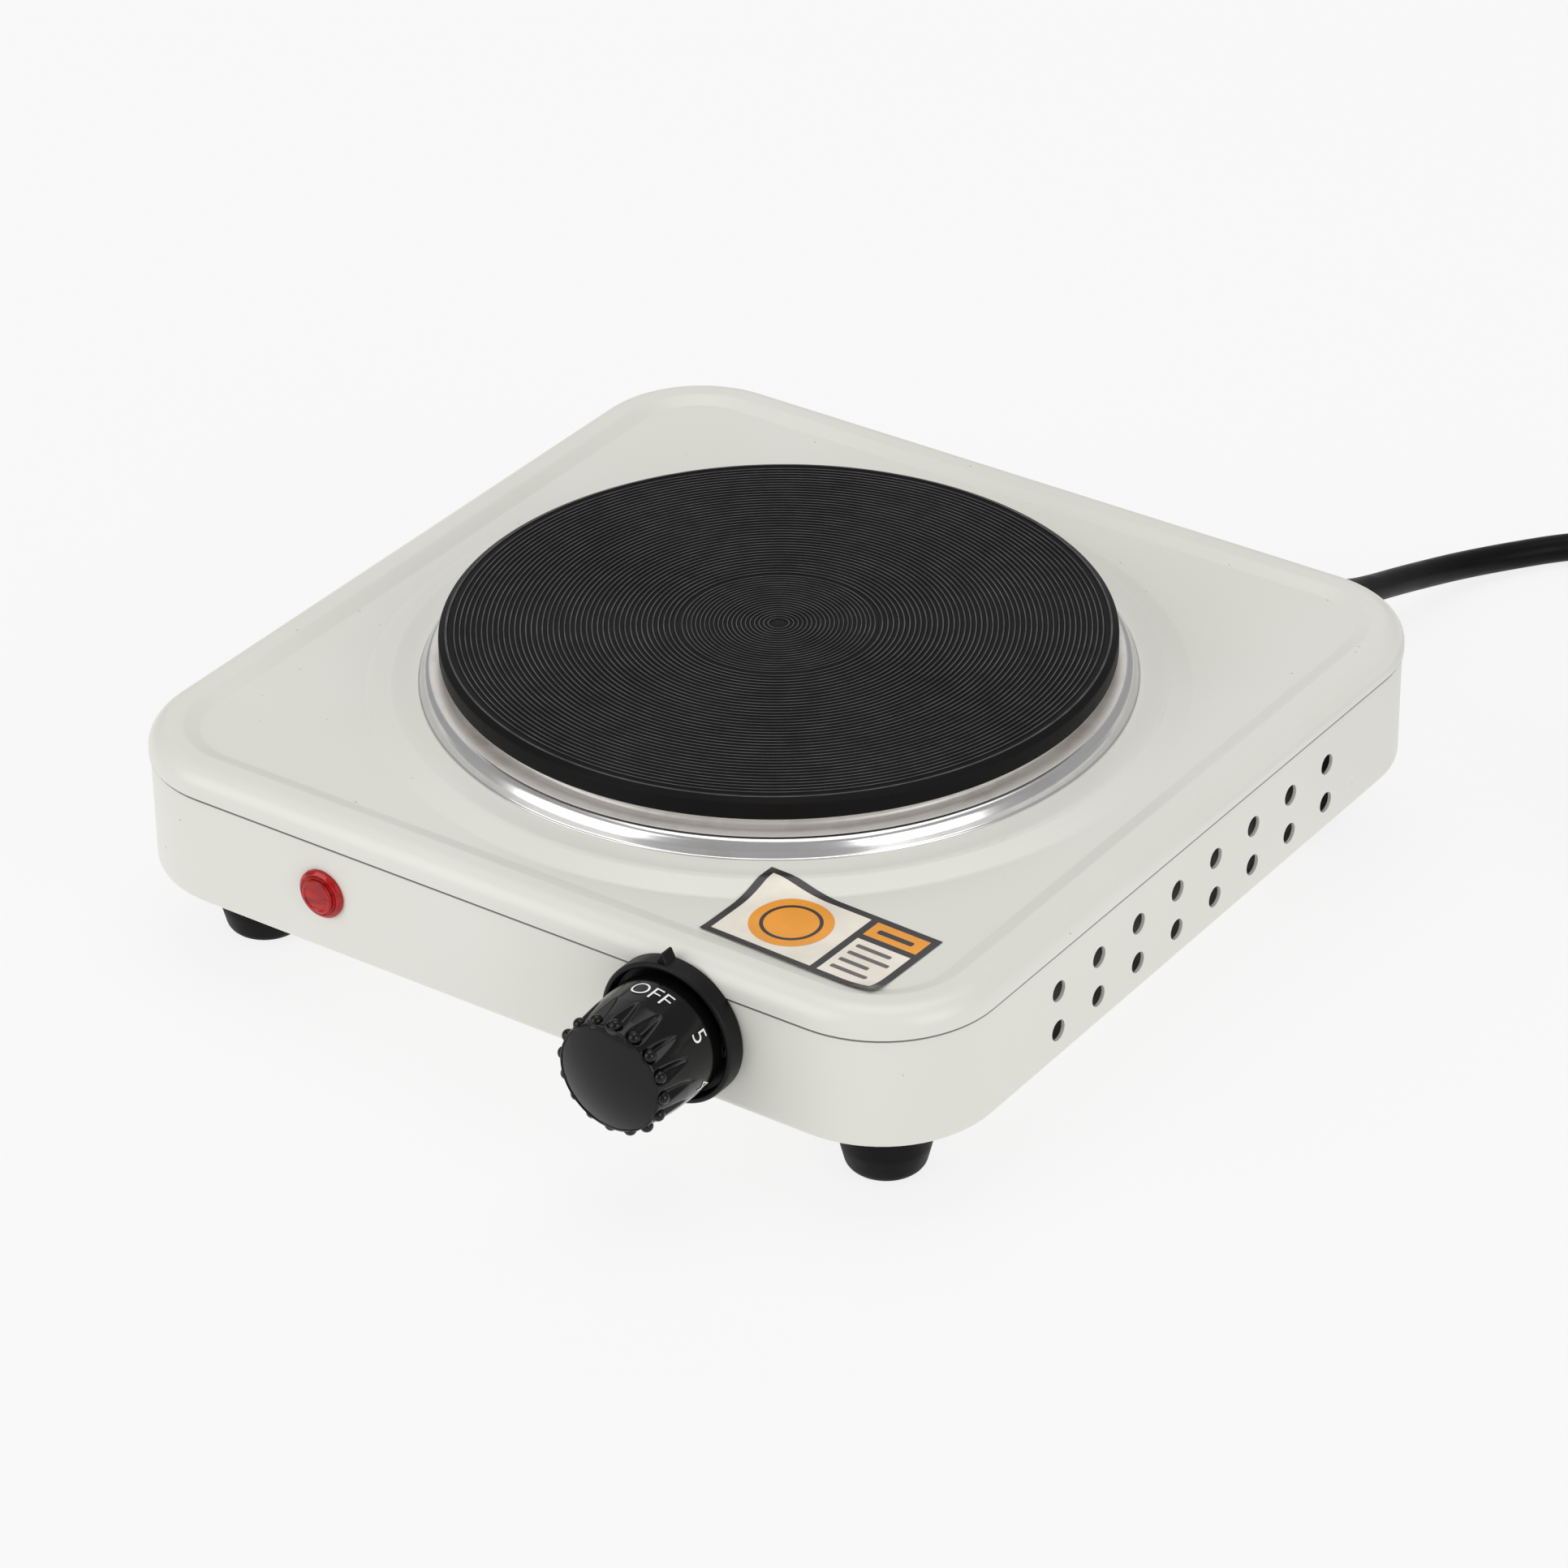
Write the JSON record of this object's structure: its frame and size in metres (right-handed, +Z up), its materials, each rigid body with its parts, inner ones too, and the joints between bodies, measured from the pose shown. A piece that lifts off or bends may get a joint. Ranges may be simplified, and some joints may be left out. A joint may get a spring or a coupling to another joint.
{
  "type": "electric hot plate",
  "caption": "Single electric hot plate: square painted steel case on rubber feet, round cast iron disc in a steel ring, thermostat dial, pilot lamp and mains cord.",
  "frame": {"origin": "centre of the hot plate's own box, knob included and cord left out, on the surface it stands on", "axes": "+Z up, +Y to the back, away from the dial, +X to the user's right as they face the dial"},
  "size_m": [0.3289, 0.3959, 0.0671],
  "materials": {
    "enamel": "smooth satin off-white paint on pressed steel",
    "cast_iron": "dark heat-resisting coating on machined cast iron",
    "stainless": "polished stainless steel",
    "zinc_steel": "zinc-plated steel",
    "bright_sheet": "aluminised steel sheet",
    "heater_sheath": "oxidised heating wire",
    "ceramic": "unglazed white ceramic",
    "magnesia": "pressed mineral insulation",
    "black_gloss": "glossy black moulded plastic",
    "black_satin": "satin black moulded plastic",
    "red_lens": "translucent red plastic lens",
    "neon_glass": "clear glass",
    "foot_rubber": "black moulded rubber",
    "cord_sheath": "black flexible sheath",
    "brass": "brass",
    "spring_bronze": "phosphor bronze",
    "bimetal": "rolled bimetal",
    "lead_live": "brown silicone sleeve",
    "lead_neutral": "blue silicone sleeve",
    "lead_earth": "green and yellow sleeve",
    "lead_white": "white glass-fibre sleeve",
    "label_film": "plain printed film",
    "holder_plastic": "pale moulded plastic"
  },
  "bodies": {
    "case": {"base_tray": "enamel", "bimetal_carrier": "zinc_steel", "clamp_bridge": "zinc_steel", "clamp_screws": "zinc_steel", "coil_end_beads": "ceramic", "coil_insulation": "magnesia", "cord_clamp": "holder_plastic", "cord_cores": "lead_white", "cord_inner_end": "cord_sheath", "cover_posts": "zinc_steel", "dial_bezel": "black_satin", "disc_stud": "zinc_steel", "earth_lead": "lead_earth", "earth_screw": "brass", "fixed_contact_leaf": "spring_bronze", "foot_front_left": "foot_rubber", "foot_front_right": "foot_rubber", "foot_rear_left": "foot_rubber", "foot_rear_right": "foot_rubber", "foot_screws": "zinc_steel", "front_label": "label_film", "heat_shield": "bright_sheet", "heater_lead": "lead_white", "heating_coil": "heater_sheath", "heating_disc": "cast_iron", "lamp_holder": "holder_plastic", "lamp_leads": "lead_white", "lamp_nut": "black_satin", "leaf_terminal": "brass", "live_lead": "lead_live", "neon_bulb": "neon_glass", "neutral_lead": "lead_neutral", "pilot_lens": "red_lens", "plug_body": "black_satin", "plug_fuse_carrier": "black_satin", "plug_pins": "brass", "power_cord": "cord_sheath", "power_cord_coil": "cord_sheath", "power_cord_tail": "cord_sheath", "push_on_terminals": "holder_plastic", "stack_rivet": "zinc_steel", "strain_relief": "cord_sheath", "stud_nut": "zinc_steel", "stud_washer": "zinc_steel", "terminal_block": "ceramic", "terminal_screws": "zinc_steel", "thermostat_frame": "zinc_steel", "thermostat_insulators": "ceramic", "thermostat_screws": "zinc_steel", "top_cover": "enamel", "trim_ring": "stainless", "underside_cover": "bright_sheet"},
    "dial": {"control_knob": "black_gloss", "knob_clip": "spring_bronze", "thermostat_shaft": "brass"},
    "adjuster": {"adjuster_pin": "ceramic"},
    "contact": {"moving_contact_leaf": "spring_bronze"},
    "bimetal": {"bimetal_strip": "bimetal", "bimetal_push_pin": "ceramic"}
  },
  "joints": [
    {"name": "dial_turn", "type": "hinge", "parent": "case", "child": "dial", "pos_m": [0.0495, -0.09745, 0.0363], "axis": [0, 1, 0], "range_deg": [0, 300]},
    {"name": "adjuster_travel", "type": "slide", "parent": "case", "child": "adjuster", "axis": [0, 1, 0], "range_m": [0, 0.00076]},
    {"name": "contact_leaf_flex", "type": "hinge", "parent": "case", "child": "contact", "pos_m": [0.0276, -0.07095, 0.0363], "axis": [0, 0, 1], "range_deg": [0, 1.97]},
    {"name": "bimetal_flex", "type": "hinge", "parent": "case", "child": "bimetal", "pos_m": [0.0276, -0.06295, 0.0363], "axis": [0, 0, -1], "range_deg": [0, 2], "stiffness_Nm_per_rad": 0.3}
  ],
  "couplings": [
    {"joint": "adjuster_travel", "follows": "dial_turn", "m_per_rad": 0.00014324},
    {"joint": "contact_leaf_flex", "follows": "dial_turn", "ratio": 0.0065406}
  ]
}
